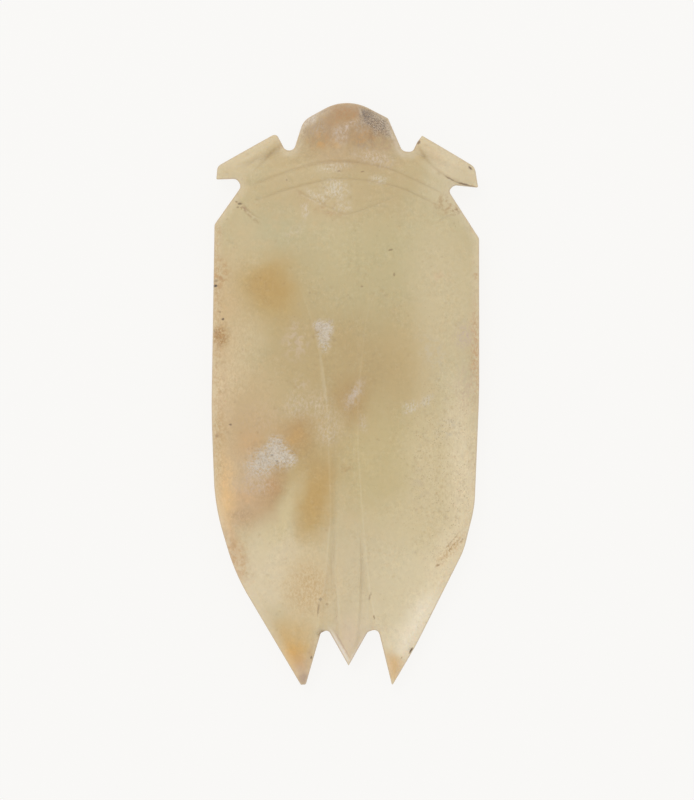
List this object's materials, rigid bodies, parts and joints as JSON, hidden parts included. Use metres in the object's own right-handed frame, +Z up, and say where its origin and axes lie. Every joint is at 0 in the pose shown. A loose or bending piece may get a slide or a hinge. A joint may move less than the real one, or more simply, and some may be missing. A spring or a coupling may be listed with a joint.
{
  "type": "jade cicada amulet",
  "caption": "Flat jade plaque carved as a cicada at rest, with side eye lobes, folded wings and a notched tail; lies on its belly.",
  "frame": {"origin": "centre of the plaque's footprint, at the level of its flat belly", "axes": "+Y towards the head, +Z up out of the carved back, +X towards the right-hand eye lobe as seen from above"},
  "size_m": [0.0276, 0.06, 0.006],
  "materials": {
    "jade": "softly polished jade with a waxy sheen, warm green-tan with pale and brown weathering"
  },
  "bodies": {
    "root": {"jade_cicada": "jade"}
  },
  "joints": []
}
